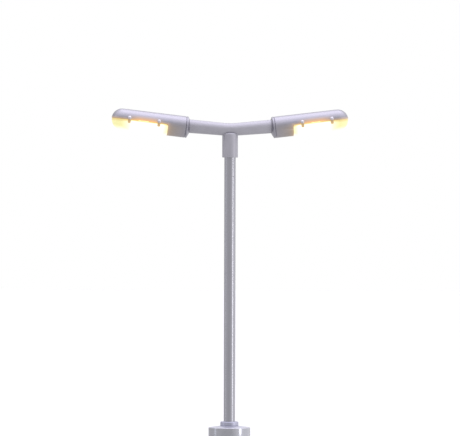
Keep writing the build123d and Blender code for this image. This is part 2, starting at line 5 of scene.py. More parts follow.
import bmesh
import bpy
from mathutils import Matrix, Vector


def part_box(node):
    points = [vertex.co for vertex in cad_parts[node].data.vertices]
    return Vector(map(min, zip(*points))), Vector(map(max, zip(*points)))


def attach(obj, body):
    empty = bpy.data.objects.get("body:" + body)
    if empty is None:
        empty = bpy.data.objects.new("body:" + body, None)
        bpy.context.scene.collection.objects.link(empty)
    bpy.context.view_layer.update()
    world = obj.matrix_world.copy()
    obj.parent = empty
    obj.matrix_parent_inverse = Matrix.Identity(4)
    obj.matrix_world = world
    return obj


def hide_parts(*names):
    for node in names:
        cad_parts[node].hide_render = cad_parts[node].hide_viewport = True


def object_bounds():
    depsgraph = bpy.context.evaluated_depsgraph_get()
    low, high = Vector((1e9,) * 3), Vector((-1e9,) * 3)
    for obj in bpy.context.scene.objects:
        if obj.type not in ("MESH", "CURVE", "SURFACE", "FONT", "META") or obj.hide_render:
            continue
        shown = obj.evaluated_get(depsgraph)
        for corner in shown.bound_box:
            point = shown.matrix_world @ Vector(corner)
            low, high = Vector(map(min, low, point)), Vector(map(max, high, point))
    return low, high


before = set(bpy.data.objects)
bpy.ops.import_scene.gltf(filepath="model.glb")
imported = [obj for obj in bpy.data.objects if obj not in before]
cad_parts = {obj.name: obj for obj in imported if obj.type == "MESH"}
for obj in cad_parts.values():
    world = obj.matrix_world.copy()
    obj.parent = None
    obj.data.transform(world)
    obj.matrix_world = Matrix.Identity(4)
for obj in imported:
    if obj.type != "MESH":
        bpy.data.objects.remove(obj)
cad_low, cad_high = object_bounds()

# ------------------------------------------------------------------ sizes, in millimetres
MM = 0.001
TINY = 1e-6
TURNS = 96

# foot: sizes that the nodes' boxes don't give; the layout's surface is at height 0
BARREL_RADIUS = 3.5
BARREL_BORE = 2.9
PLUG_HOLE = 1.5
CORE_TOP = 1.4
FLANGE_SEAT = 1.95
FLANGE_RIM = 2.54
GROOVE_COUNT = 3
GROOVE_RADIUS = 0.2
GROOVE_PITCH = 3.0
GROOVE_STEPS = 8
MAST_BORE = 0.75
FIT_GAP = 0.02

# arms: they run straight from the bend in the tee, at equal angles
SLEEVE_TOP = 61.4
ARM_CENTRE_HEIGHT = 62.1
ARM_TILT = math.radians(4.86)
ARM_BEND_RADIUS = 16.0
ARM_BEND_STEPS = 8
ARM_BEND_CENTRE = ARM_CENTRE_HEIGHT + ARM_BEND_RADIUS
ARM_ORIGIN_HEIGHT = ARM_BEND_CENTRE - ARM_BEND_RADIUS / math.cos(ARM_TILT)
ARM_RADIUS_INNER = 1.27
ARM_RADIUS_OUTER = 1.36
ARM_LENGTH = 8.48
ARM_SPIGOT_RADIUS = 0.9
ARM_SPIGOT_REACH = 12.0

# lamp heads
HEAD_X = 8.94
HEAD_Z = 62.56
HEAD_TILT = math.radians(6.8)
HEAD_RADIUS = 2.14
HEAD_LENGTH = 14.9
HEAD_WALL = 0.35
BOX_LENGTH = 3.55
SHELL_EDGE = 0.09
WINDOW_CORNER = 0.45
DOME_CENTRE = HEAD_LENGTH - HEAD_RADIUS
CAP_RIM = 0.36
CAP_CONE_DEPTH = 0.49
CAP_FACE_RADIUS = 1.1
CAP_SPIGOT_RADIUS = 1.76
CAP_SPIGOT_LENGTH = 0.8
CAP_SPIGOT_BORE = 1.4
CAP_FLOOR = 0.2
JOINT_BEVEL = 0.1
BULKHEAD_THICKNESS = 0.48
BULKHEAD_INSET = 0.02
BULKHEAD_OVERLAP = 0.1
LENS_RADIUS = 2.08
LENS_WALL = 0.3
LENS_GAP = 0.05
CLIP_POSITIONS = (5.48, 11.42)
CLIP_BOSS_ANGLE = math.radians(11.5)
CLIP_TOP_ANGLE = math.radians(17.5)
CLIP_END_ANGLE = math.radians(-17)
CLIP_WIDTH = 0.56
CLIP_THICKNESS = 0.12
CLIP_END_ROUND = 0.16
CLIP_DEPTH = 0.03
BOSS_RADIUS = 0.38
BOSS_HEIGHT = 0.22
LIGHT_CENTRE = 8.1

SIDES = {"right": 1, "left": -1}


def node_box(node):
    """Lowest and highest corner of a CAD node, in millimetres."""
    low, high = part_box(node)
    return low / MM, high / MM


# ------------------------------------------------------------------ mesh helpers
def finish_mesh(name, mesh):
    """Object in the scene from a bmesh, with its faces turned outwards."""
    bmesh.ops.recalc_face_normals(mesh, faces=mesh.faces)
    data = bpy.data.meshes.new(name)
    mesh.to_mesh(data)
    mesh.free()
    piece = bpy.data.objects.new(name, data)
    bpy.context.scene.collection.objects.link(piece)
    return piece


def skin(name, loops, joined=False):
    """Mesh through loops of points. A loop of one point is a tip; end loops are capped."""
    mesh = bmesh.new()
    rings = [[mesh.verts.new(point) for point in loop] for loop in loops]
    pairs = list(zip(rings, rings[1:]))
    if joined:
        pairs.append((rings[-1], rings[0]))
    for first, second in pairs:
        count = max(len(first), len(second))
        if count == 1:
            continue
        for step in range(count):
            corners = [
                first[step % len(first)],
                first[(step + 1) % len(first)],
                second[(step + 1) % len(second)],
                second[step % len(second)],
            ]
            mesh.faces.new(list(dict.fromkeys(corners)))
    if not joined:
        for ring in (rings[0], rings[-1]):
            if len(ring) > 2:
                mesh.faces.new(ring)
    return finish_mesh(name, mesh)


def circle(turns=TURNS):
    """Angles of the points round a circle."""
    return [2 * math.pi * step / turns for step in range(turns)]


def rounded(corners, closed=True, steps=5):
    """Outline through (x, y, rounding) corners, with an arc at each rounded one."""
    outline = []
    for index, (x, y, rounding) in enumerate(corners):
        corner = Vector((x, y))
        inside = closed or 0 < index < len(corners) - 1
        if not rounding or not inside:
            outline.append((x, y))
            continue
        before = Vector(corners[index - 1][:2]) - corner
        after = Vector(corners[(index + 1) % len(corners)][:2]) - corner
        half = before.angle(after) / 2
        before.normalize()
        after.normalize()
        centre = corner + (before + after).normalized() * rounding / math.sin(half)
        reach = rounding / math.tan(half)
        spoke = corner + before * reach - centre
        turn = spoke.angle_signed(corner + after * reach - centre)
        for step in range(steps + 1):
            point = centre + Matrix.Rotation(-turn * step / steps, 2) @ spoke
            outline.append((point.x, point.y))
    return outline


def lathe(name, outline, joined=True, turns=TURNS):
    """Surface of revolution about local z from an outline of (radius, height) points."""
    loops = []
    for radius, height in outline:
        angles = circle(turns) if radius > TINY else [0.0]
        loops.append([Vector((radius * math.cos(a), radius * math.sin(a), height)) for a in angles])
    return skin(name, loops, joined)


def bake_modifiers(piece):
    """Replaces the mesh with its result and clears the modifiers."""
    bpy.context.view_layer.update()
    graph = bpy.context.evaluated_depsgraph_get()
    result = bpy.data.meshes.new_from_object(piece.evaluated_get(graph))
    piece.modifiers.clear()
    piece.data = result
    result.name = piece.name


def combine(piece, tool, operation):
    """Boolean of two closed pieces; the tool is used up."""
    modifier = piece.modifiers.new(operation.lower(), "BOOLEAN")
    modifier.operation = operation
    modifier.solver = "EXACT"
    modifier.object = tool
    bake_modifiers(piece)
    bpy.data.objects.remove(tool)


def soften(piece, width, angle=32, steps=3):
    """Rounds the sharp edges."""
    modifier = piece.modifiers.new("edges", "BEVEL")
    modifier.width = width
    modifier.segments = steps
    modifier.limit_method = "ANGLE"
    modifier.angle_limit = math.radians(angle)
    bake_modifiers(piece)


def settle(piece, body, nodes, material, place=None, sharp=30):
    """Scales a piece to metres, places it, and gives it its looks, its body and its nodes."""
    piece.data.transform(Matrix.Scale(MM, 4))
    piece.data.shade_smooth()
    piece.data.set_sharp_from_angle(angle=math.radians(sharp))
    piece.data.materials.clear()
    piece.data.materials.append(material)
    if place is not None:
        piece.matrix_world = place
    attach(piece, body)
    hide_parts(*nodes)
    return piece


# ------------------------------------------------------------------ material helpers
NOISE_RANGE = (0.3, 0.7)


class Nodes:
    """Short names for the nodes of a material or of the world."""

    def __init__(self, tree):
        self.tree = tree

    def node(self, kind, settings=None, inputs=None):
        """New node with its settings and inputs."""
        made = self.tree.nodes.new(kind)
        for key, value in (settings or {}).items():
            setattr(made, key, value)
        for key, value in (inputs or {}).items():
            self.feed(made.inputs[key], value)
        return made

    def feed(self, socket, value):
        """Links an output to a socket, or sets a plain value."""
        if isinstance(value, bpy.types.NodeSocket):
            self.tree.links.new(value, socket)
        else:
            socket.default_value = value

    def math(self, operation, first, second=0.0, third=0.0):
        """Result of a Math node."""
        made = self.node("ShaderNodeMath", {"operation": operation})
        for socket, value in zip(made.inputs, (first, second, third)):
            self.feed(socket, value)
        return made.outputs[0]

    def span(self, value, low, high, to_low=0.0, to_high=1.0, smooth=False):
        """Maps low..high to to_low..to_high."""
        kind = "SMOOTHSTEP" if smooth else "LINEAR"
        made = self.node("ShaderNodeMapRange", {"interpolation_type": kind})
        for socket, number in zip(made.inputs, (value, low, high, to_low, to_high)):
            self.feed(socket, number)
        return made.outputs[0]

    def blend(self, amount, first, second):
        """Mix of two colours, each a link or an (r, g, b)."""
        made = self.node("ShaderNodeMix", {"data_type": "RGBA"})
        self.feed(made.inputs[0], amount)
        for socket, colour in ((made.inputs[6], first), (made.inputs[7], second)):
            linked = isinstance(colour, bpy.types.NodeSocket)
            self.feed(socket, colour if linked else (*colour, 1))
        return made.outputs[2]


class Finish(Nodes):
    """A Principled material; the constants are set on the shader's own sockets."""

    def __init__(self, name, **constants):
        self.material = bpy.data.materials.new(name)
        self.material.use_nodes = True
        super().__init__(self.material.node_tree)
        self.shader = self.tree.nodes["Principled BSDF"]
        self.place = self.node("ShaderNodeTexCoord").outputs["Object"]
        for socket, value in constants.items():
            self.set(socket.replace("_", " "), value)

    def axis(self, letter):
        """One coordinate of the piece, in millimetres."""
        parts = self.node("ShaderNodeSeparateXYZ", inputs={0: self.place})
        return self.math("MULTIPLY", parts.outputs[letter], 1 / MM)

    def noise(self, per_mm, detail=2.0, stretch=(1, 1, 1)):
        """Noise with about per_mm features in a millimetre, stretched along an axis."""
        mapped = self.node(
            "ShaderNodeMapping", inputs={"Vector": self.place, "Scale": stretch}
        )
        made = self.node(
            "ShaderNodeTexNoise",
            inputs={"Vector": mapped.outputs[0], "Scale": per_mm / MM, "Detail": detail},
        )
        return made.outputs["Fac"]

    def relief(self, height, depth_mm, strength=1.0):
        """Bump of the given depth."""
        made = self.node(
            "ShaderNodeBump",
            inputs={"Height": height, "Distance": depth_mm * MM, "Strength": strength},
        )
        self.feed(self.shader.inputs["Normal"], made.outputs[0])

    def set(self, socket, value):
        """Links or sets a socket of the shader."""
        self.feed(self.shader.inputs[socket], value)

    def source(self, socket):
        """What already feeds a socket of the shader."""
        return self.shader.inputs[socket].links[0].from_socket

    def tint(self, amount, colour):
        """Blends a colour over the base colour."""
        self.set("Base Color", self.blend(amount, self.source("Base Color"), colour))

    def colour_by(self, tone, light, dark):
        """Base colour from dark to light as the tone goes through its usual range."""
        self.set("Base Color", self.blend(self.span(tone, *NOISE_RANGE), dark, light))

    def roughen(self, clouds, lowest, highest):
        """Roughness that drifts between two values with a noise."""
        self.set("Roughness", self.span(clouds, *NOISE_RANGE, lowest, highest))


def silver_finish(name, light, dark, roughness, grain_stretch=(1, 1, 1), metallic=0.8):
    """Silver paint or silver-pigmented plastic: fine flakes over a faintly uneven coat."""
    finish = Finish(name, Metallic=metallic, Coat_Weight=0.1, Coat_Roughness=0.25)
    flakes = finish.noise(22, 1.0)
    clouds = finish.noise(0.9, 3.0, grain_stretch)
    tone = finish.math("MULTIPLY_ADD", flakes, 0.45, finish.math("MULTIPLY", clouds, 0.55))
    finish.colour_by(tone, light, dark)
    finish.roughen(clouds, roughness - 0.04, roughness + 0.05)
    finish.relief(flakes, 0.0015, 0.4)
    return finish


# ------------------------------------------------------------------ materials
HEAD_SILVER = ((0.35, 0.34, 0.39), (0.31, 0.30, 0.345), 0.34)
# warm grey painted over the heads' shells: a painted reflection of the lens's light
WARM_LENS_REFLECTION = (0.40, 0.335, 0.28)
# brown painted over the clip tongues: painted shade with the lens's light on it
LIT_BROWN = (0.26, 0.21, 0.17)
# lighter nickel painted on top of the flange: painted highlight
TOP_HIGHLIGHT_NICKEL = (0.55, 0.55, 0.62)


def make_lit_shell():
    """Silver plastic of the heads, with the lamp's light painted on near the lens: a painted glow
    and a painted warm reflection.
    """
    finish = silver_finish("silver_shell", *HEAD_SILVER)
    along, up = finish.axis("X"), finish.axis("Z")
    # painted glow: a band of the lamp's light along the shell's edge, widest and deepest over the
    # lamp
    from_middle = finish.math("ABSOLUTE", finish.math("SUBTRACT", along, LIGHT_CENTRE))
    middle = finish.span(from_middle, 1.0, 4.2, 1.0, 0.0, smooth=True)
    above = finish.math("SUBTRACT", up, SHELL_EDGE)
    over_lens = finish.span(along, BOX_LENGTH - 0.1, BOX_LENGTH + 0.3, smooth=True)
    wide = finish.span(above, 1.15, 0.0, smooth=True)
    thin = finish.span(above, 0.45, 0.0, 0.0, 0.4, smooth=True)
    band = finish.math("MULTIPLY", over_lens, finish.math("MULTIPLY_ADD", wide, middle, thin))
    # painted glow: light from the lens beside it is painted on the step at the end of the box
    behind = finish.math("MAXIMUM", finish.math("SUBTRACT", BOX_LENGTH, along), 0.0)
    step = finish.math("EXPONENT", finish.math("MULTIPLY", behind, -2.6))
    low = finish.span(above, 0.5, 0.0, 0.0, 0.42, smooth=True)
    step = finish.math("MULTIPLY", step, low)
    glow = finish.math("MAXIMUM", band, step)
    amber = finish.blend(middle, (1.0, 0.50, 0.10), (1.0, 0.42, 0.05))
    # the shell is no lamp: this emission is painted glow
    finish.set("Emission Color", amber)
    finish.set("Emission Strength", finish.math("MULTIPLY", glow, 0.5))
    # painted reflection: warm lens light over the lower half of the box and along the edge
    box_lens_reflection = finish.span(behind, 3.4, 0.2, 0.1, 0.85)
    box_lens_reflection = finish.math("MULTIPLY", box_lens_reflection, finish.span(above, 0.4, -0.6))
    finish.tint(finish.math("MAXIMUM", finish.math("MINIMUM", glow, 1.0), box_lens_reflection), WARM_LENS_REFLECTION)
    return finish.material


def make_clip_plastic():
    """Silver clips with a painted highlight, lighter than the shell's silver; the tongues get
    painted shade in front of the lens and a painted tan glow.
    """
    # the clips' lighter silver is a painted highlight
    finish = silver_finish("silver_clip", (0.60, 0.57, 0.63), (0.50, 0.48, 0.54), 0.34)
    up = finish.axis("Z")
    # painted shade and lens light on the lower part of each clip
    lit = finish.span(up, 0.34, 0.02, smooth=True)
    finish.tint(lit, LIT_BROWN)
    # painted glow: the clips are no lamp
    finish.set("Emission Color", (1.0, 0.62, 0.20, 1))
    tip = finish.span(up, 0.0, -0.55, 0.3, 0.5)
    finish.set("Emission Strength", finish.math("MULTIPLY", lit, tip))
    return finish.material


def make_lens():
    """Frosted diffuser: white-hot over the lamp, pale yellow towards both ends."""
    finish = Finish("lit_lens", Roughness=0.4, Coat_Weight=0.15, Coat_Roughness=0.12)
    along, up = finish.axis("X"), finish.axis("Z")
    mottle = finish.noise(2.2, 2.0)
    outer = finish.span(along, 13.0, 10.8)
    inner = finish.span(along, BOX_LENGTH - 0.1, BOX_LENGTH + 1.1, 0.1)
    middle = finish.math("MINIMUM", outer, inner)
    under = finish.span(up, -1.1, -LENS_RADIUS, 0.0, 0.8, smooth=True)
    heat = finish.math("MAXIMUM", middle, under)
    heat = finish.math("MULTIPLY_ADD", finish.math("SUBTRACT", mottle, 0.5), 0.1, heat)
    # golden rim under the shell's edge, wider towards the ends
    rim_width = finish.math("MULTIPLY_ADD", finish.math("SUBTRACT", 1.0, middle), 0.45, 0.22)
    rim = finish.math("DIVIDE", finish.math("ADD", up, rim_width), rim_width)
    rim = finish.span(rim, 0.0, 1.0, smooth=True)
    body = finish.blend(heat, (1.0, 0.95, 0.30), (1.0, 1.0, 1.0))
    finish.set("Emission Color", finish.blend(rim, body, (1.0, 0.74, 0.16)))
    strength = finish.span(heat, 0.0, 1.0, 0.47, 0.78)
    finish.set("Emission Strength", finish.math("MULTIPLY_ADD", rim, -0.12, strength))
    pale = finish.blend(mottle, (0.52, 0.49, 0.31), (0.56, 0.53, 0.35))
    finish.set("Base Color", finish.blend(rim, pale, (0.50, 0.40, 0.20)))
    finish.relief(finish.noise(6, 2.0), 0.006, 0.3)
    return finish.material


def turned_metal(name, light, dark, roughness, rings_per_mm=14):
    """Metal turned on a lathe: fine rings, with tone that changes from ring to ring."""
    finish = Finish(name, Metallic=1.0)
    rings = finish.noise(rings_per_mm, 2.0, (0.02, 0.02, 1))
    clouds = finish.noise(0.8, 3.0)
    tone = finish.math("MULTIPLY_ADD", rings, 0.5, finish.math("MULTIPLY", clouds, 0.5))
    finish.colour_by(tone, light, dark)
    finish.roughen(clouds, roughness - 0.05, roughness + 0.06)
    finish.relief(rings, 0.004, 0.6)
    return finish


def make_flange_nickel():
    """Bright turned nickel; the top of the flange is rougher and painted lighter, a painted
    highlight.
    """
    finish = turned_metal("turned_nickel", (0.43, 0.43, 0.475), (0.36, 0.36, 0.40), 0.23)
    # painted highlight on the flange's top face
    on_top = finish.span(finish.axis("Z"), FLANGE_RIM - 0.12, FLANGE_RIM)
    finish.tint(on_top, TOP_HIGHLIGHT_NICKEL)
    satin = finish.math("MULTIPLY", on_top, 0.45)
    finish.set("Roughness", finish.math("MAXIMUM", finish.source("Roughness"), satin))
    return finish.material


def dull_plastic(name, light, dark, roughness=0.5):
    """Moulded plastic with a fine matt grain."""
    finish = Finish(name, Specular_IOR_Level=0.4)
    clouds = finish.noise(1.2, 3.0)
    finish.set("Base Color", finish.blend(clouds, dark, light))
    finish.roughen(clouds, roughness - 0.08, roughness + 0.08)
    finish.relief(finish.noise(18, 2.0), 0.006, 0.5)
    return finish.material


def coated_board(name, light, dark):
    """Circuit board: solder resist with the glass weave just showing."""
    finish = Finish(name, Coat_Weight=0.4, Coat_Roughness=0.15)
    weave = finish.node(
        "ShaderNodeTexChecker", inputs={"Vector": finish.place, "Scale": 4 / MM}
    )
    clouds = finish.noise(1.5, 2.0)
    tone = finish.math("MULTIPLY_ADD", weave.outputs["Fac"], 0.25, clouds)
    finish.set("Base Color", finish.blend(finish.span(tone, 0.2, 1.0), dark, light))
    finish.roughen(clouds, 0.3, 0.42)
    return finish.material


def enamel(name, light, dark):
    """Enamelled copper wire, with thicker and thinner stretches of enamel."""
    finish = Finish(name, Metallic=0.6, Coat_Weight=0.6, Coat_Roughness=0.1)
    drift = finish.noise(0.7, 3.0)
    finish.set("Base Color", finish.blend(drift, dark, light))
    finish.roughen(drift, 0.28, 0.4)
    return finish.material


def make_led():
    """Phosphor of a lit LED."""
    finish = Finish("warm_led", Roughness=0.4)
    grain = finish.noise(9, 2.0)
    finish.set("Base Color", finish.blend(grain, (0.9, 0.66, 0.12), (1.0, 0.8, 0.25)))
    finish.set("Emission Color", finish.blend(grain, (1.0, 0.82, 0.42), (1.0, 0.9, 0.6)))
    finish.set("Emission Strength", finish.span(grain, *NOISE_RANGE, 1.6, 2.2))
    return finish.material


SILVER_PLASTIC = silver_finish("silver_plastic", *HEAD_SILVER).material
# the tee's own copy of the silver: duller and less metallic, with its tone set for how it is lit,
# which is painted light
TEE_LIGHT_MATCHED_SILVER = silver_finish(
    "tee_silver", (0.40, 0.39, 0.44), (0.35, 0.34, 0.385), 0.46, metallic=0.55
).material
LIT_SHELL = make_lit_shell()
CLIP_PLASTIC = make_clip_plastic()
LENS = make_lens()
# painted brass tube with a faint lengthwise draw
SILVER_PAINT = silver_finish(
    "silver_paint", (0.37, 0.365, 0.405), (0.325, 0.32, 0.36), 0.17, (1, 1, 0.08)
).material
NICKEL = make_flange_nickel()
# bluer tint of the collar: a painted reflection of the lavender light round the foot
COLLAR_NICKEL = turned_metal(
    "satin_nickel", (0.43, 0.43, 0.53), (0.37, 0.37, 0.465), 0.36
).material
BRASS = turned_metal("turned_brass", (0.80, 0.58, 0.24), (0.62, 0.42, 0.15), 0.25).material
TINNED = turned_metal(
    "tinned_brass", (0.68, 0.66, 0.62), (0.52, 0.50, 0.46), 0.35, rings_per_mm=4
).material
SOLDER = turned_metal(
    "bright_solder", (0.70, 0.70, 0.71), (0.50, 0.50, 0.52), 0.3, rings_per_mm=3
).material
BLACK_PLASTIC = dull_plastic("black_plastic", (0.035, 0.035, 0.04), (0.015, 0.015, 0.018))
EPOXY = dull_plastic("black_epoxy", (0.06, 0.06, 0.065), (0.03, 0.03, 0.033), 0.6)
GREEN_BOARD = coated_board("green_board", (0.03, 0.22, 0.09), (0.01, 0.12, 0.05))
WHITE_BOARD = coated_board("white_board", (0.85, 0.85, 0.82), (0.74, 0.74, 0.71))
RED_ENAMEL = enamel("red_enamel", (0.55, 0.10, 0.05), (0.34, 0.05, 0.03))
GREEN_ENAMEL = enamel("green_enamel", (0.10, 0.32, 0.13), (0.04, 0.18, 0.07))
WARM_LED = make_led()


# ------------------------------------------------------------------ foot and mast
def make_socket():
    """Flanged socket in the layout, with three half-round glue rings round its barrel."""
    low, high = node_box("socket_shell")
    outline = rounded(
        [(BARREL_BORE, CORE_TOP, 0), (PLUG_HOLE, CORE_TOP, 0)]
        + [(PLUG_HOLE, high.z, 0.1), (FLANGE_SEAT, high.z, 0.05), (high.x, FLANGE_RIM, 0.12)]
        + [(high.x, 0, 0.06), (BARREL_RADIUS, 0, 0)],
        closed=False,
    )
    for ring in range(1, GROOVE_COUNT + 1):
        for step in range(GROOVE_STEPS + 1):
            angle = math.pi * step / GROOVE_STEPS
            height = GROOVE_RADIUS * math.cos(angle) - ring * GROOVE_PITCH
            outline.append((BARREL_RADIUS - GROOVE_RADIUS * math.sin(angle), height))
    above_end = low.z + 1
    outline += rounded(
        [(BARREL_RADIUS, above_end, 0), (BARREL_RADIUS, low.z, 0.2)]
        + [(BARREL_BORE, low.z, 0.06), (BARREL_BORE, above_end, 0)],
        closed=False,
    )
    shell = lathe("socket_flange", outline)
    settle(shell, "socket", ["socket_shell"], NICKEL)


def make_collar():
    """Collar round the foot of the mast, which stands on the flange."""
    low, high = node_box("foot_collar")
    bore = node_box("mast_tube")[1].x + FIT_GAP / 2
    outline = rounded(
        [(bore, low.z, 0), (high.x, low.z, 0.05), (high.x, high.z, 0.2), (bore, high.z, 0.06)]
    )
    collar = lathe("collar_ring", outline)
    settle(collar, "mast", ["foot_collar"], COLLAR_NICKEL)


def make_mast():
    """Plain tube from the plug up into the sleeve."""
    low, high = node_box("mast_tube")
    outline = [(MAST_BORE, low.z), (high.x, low.z), (high.x, high.z), (MAST_BORE, high.z)]
    tube = lathe("mast_pole", outline)
    settle(tube, "mast", ["mast_tube"], SILVER_PAINT)


def make_sleeve():
    """Sleeve over the top of the mast, closed above it."""
    low, high = node_box("tee_bracket")
    mast_high = node_box("mast_tube")[1]
    bore, mast_top = mast_high.x + FIT_GAP, mast_high.z
    outline = rounded(
        [(0, SLEEVE_TOP, 0), (high.y, SLEEVE_TOP, 0.3), (high.y, low.z, 0.1)]
        + [(bore, low.z, 0.04), (bore, mast_top, 0), (0, mast_top, 0)],
        closed=False,
    )
    return lathe("tee", outline, joined=False)


def make_arms():
    """Both arms in one round bar, thicker towards its ends, with a gentle bend in the middle."""
    stations = []
    for step in range(-ARM_BEND_STEPS, ARM_BEND_STEPS + 1):
        angle = ARM_TILT * step / ARM_BEND_STEPS
        spoke = Vector((math.sin(angle), 0, -math.cos(angle))) * ARM_BEND_RADIUS
        stations.append((Vector((0, 0, ARM_BEND_CENTRE)) + spoke, angle, ARM_RADIUS_INNER))
    for side in (1, -1):
        end = Vector((side * math.cos(ARM_TILT), 0, math.sin(ARM_TILT))) * ARM_LENGTH
        end.z += ARM_ORIGIN_HEIGHT
        station = (end, side * ARM_TILT, ARM_RADIUS_OUTER)
        stations.insert(len(stations) if side > 0 else 0, station)
    across = Vector((0, 1, 0))
    loops = []
    for centre, angle, radius in stations:
        up = Vector((-math.sin(angle), 0, math.cos(angle)))
        loops.append(
            [centre + radius * (up * math.cos(a) + across * math.sin(a)) for a in circle()]
        )
    return skin("arms", loops)


def make_tee():
    """Sleeve and arms in one moulding."""
    tee = make_sleeve()
    combine(tee, make_arms(), "UNION")
    soften(tee, 0.05)
    settle(tee, "mast", ["tee_bracket"], TEE_LIGHT_MATCHED_SILVER)


# ------------------------------------------------------------------ lamp heads
def head_place(side):
    """Head's own frame: x outwards along the head, y across, z up."""
    along = Vector((side * math.cos(HEAD_TILT), 0, math.sin(HEAD_TILT)))
    across = Vector((0, side, 0))
    up = along.cross(across)
    place = Matrix((along, across, up)).transposed().to_4x4()
    place.translation = Vector((side * HEAD_X, 0, HEAD_Z)) * MM
    return place


def along_head(piece):
    """Turns a lathed piece so that its axis runs along the head."""
    piece.data.transform(Matrix.Rotation(math.pi / 2, 4, "Y"))
    return piece


def quarter(centre, radius, start, end, steps=20):
    """Points (radius, along) of an arc about a point on the axis, from start to end degrees."""
    points = []
    for step in range(steps + 1):
        angle = math.radians(start + (end - start) * step / steps)
        points.append((radius * math.cos(angle), centre + radius * math.sin(angle)))
    return points


def window_block(start, top):
    """Block that fills everything beyond start and below top, with its one corner round."""
    end, depth = HEAD_LENGTH + 1, 4 * HEAD_RADIUS
    outline = rounded(
        [(start, top, WINDOW_CORNER), (end, top, 0), (end, -depth, 0), (start, -depth, 0)],
        steps=8,
    )
    return skin(
        "window",
        [[Vector((x, y, z)) for x, z in outline] for y in (-depth, depth)],
    )


def cylinder(name, radius, start, end):
    """Solid cylinder along the x axis."""
    outline = [(0, start), (radius, start), (radius, end), (0, end)]
    return along_head(lathe(name, outline, joined=False))


def arm_plug(radius, start, end):
    """Cylinder on the arm's axis, in the head's frame, used to cut the arm's seat."""
    plug = cylinder("seat", radius, start, end)
    arm = Matrix.Translation((0, 0, ARM_ORIGIN_HEIGHT)) @ Matrix.Rotation(-ARM_TILT, 4, "Y")
    head = Matrix.Translation((HEAD_X, 0, HEAD_Z)) @ Matrix.Rotation(-HEAD_TILT, 4, "Y")
    plug.data.transform(head.inverted() @ arm)
    return plug


def make_end_cap(name, side, node):
    """Cap with a conical face, a spigot into the shell's box and a seat for the arm."""
    face = -CAP_RIM - CAP_CONE_DEPTH
    outline = rounded(
        [
            (0, face, 0),
            (CAP_FACE_RADIUS, face, 0.1),
            (HEAD_RADIUS, -CAP_RIM, 0.12),
            (HEAD_RADIUS, -JOINT_BEVEL, 0.03),
            (HEAD_RADIUS - JOINT_BEVEL, 0, 0),
            (CAP_SPIGOT_RADIUS, 0, 0),
            (CAP_SPIGOT_RADIUS, CAP_SPIGOT_LENGTH, 0.05),
            (CAP_SPIGOT_BORE, CAP_SPIGOT_LENGTH, 0.05),
            (CAP_SPIGOT_BORE, CAP_FLOOR, 0),
            (0, CAP_FLOOR, 0),
        ],
        closed=False,
    )
    cap = along_head(lathe(name, outline, joined=False))
    # both cuts start well outside the cap
    seat = arm_plug(ARM_RADIUS_OUTER + FIT_GAP, ARM_LENGTH - 2, ARM_LENGTH)
    combine(cap, seat, "DIFFERENCE")
    spigot_hole = arm_plug(ARM_SPIGOT_RADIUS + FIT_GAP, ARM_LENGTH - 1, ARM_SPIGOT_REACH)
    combine(cap, spigot_hole, "DIFFERENCE")
    soften(cap, 0.04)
    settle(cap, "mast", [node], SILVER_PLASTIC, head_place(side))


def make_housing(name, side, node):
    """Shell: wiring box, open window for the lens, bulkhead between them, and domed end."""
    bore = HEAD_RADIUS - HEAD_WALL
    outline = rounded(
        [
            (bore, BOX_LENGTH / 2, 0),
            (bore, 0, 0.05),
            (HEAD_RADIUS - JOINT_BEVEL, 0, 0),
            (HEAD_RADIUS, JOINT_BEVEL, 0.03),
            (HEAD_RADIUS, 1, 0),
        ],
        closed=False,
    )
    outline += quarter(DOME_CENTRE, HEAD_RADIUS, 0, 90)
    outline += quarter(DOME_CENTRE, bore, 90, 0)
    shell = along_head(lathe(name, outline))
    combine(shell, window_block(BOX_LENGTH, SHELL_EDGE), "DIFFERENCE")
    end = BOX_LENGTH - BULKHEAD_INSET
    bulkhead = cylinder("bulkhead", bore + BULKHEAD_OVERLAP, end - BULKHEAD_THICKNESS, end)
    combine(shell, bulkhead, "UNION")
    soften(shell, 0.07)
    settle(shell, "mast", [node], LIT_SHELL, head_place(side))


def make_diffuser(name, side, node):
    """Trough with a closed inner end and a quarter-sphere outer end."""
    start = BOX_LENGTH + LENS_GAP
    inner = LENS_RADIUS - LENS_WALL
    outline = [(0, start), (LENS_RADIUS, start)]
    outline += quarter(DOME_CENTRE, LENS_RADIUS, 0, 90)
    outline += quarter(DOME_CENTRE, inner, 90, 0)
    outline += [(inner, start + LENS_WALL), (0, start + LENS_WALL)]
    trough = along_head(lathe(name, outline))
    combine(trough, window_block(start, SHELL_EDGE - LENS_GAP), "INTERSECT")
    soften(trough, 0.05)
    settle(trough, "mast", [node], LENS, head_place(side))


def clip_tongue():
    """Flat strip, lengthways on y, with a round lower end and round edges."""
    low, high = CLIP_END_ANGLE * HEAD_RADIUS, CLIP_TOP_ANGLE * HEAD_RADIUS
    steps = 18
    loops = []
    for step in range(steps + 1):
        y = low + (high - low) * step / steps
        nearest_end = min(y - low, high - y)
        gap = min(max(CLIP_END_ROUND - nearest_end, 0), CLIP_END_ROUND)
        inset = CLIP_END_ROUND - math.sqrt(CLIP_END_ROUND**2 - gap**2)
        half = CLIP_WIDTH / 2 - inset
        top = CLIP_THICKNESS * (0.6 if nearest_end < TINY else 1.0)
        # section from the left edge over the top: shares of the half width, and heights
        left = [(-1, -CLIP_DEPTH), (-1, 0.55 * top), (-0.93, 0.86 * top), (-0.78, top)]
        section = left + [(0, top)] + [(-x, z) for x, z in reversed(left)]
        loops.append([Vector((x * half, y, z)) for x, z in section])
    return skin("tongue", loops)


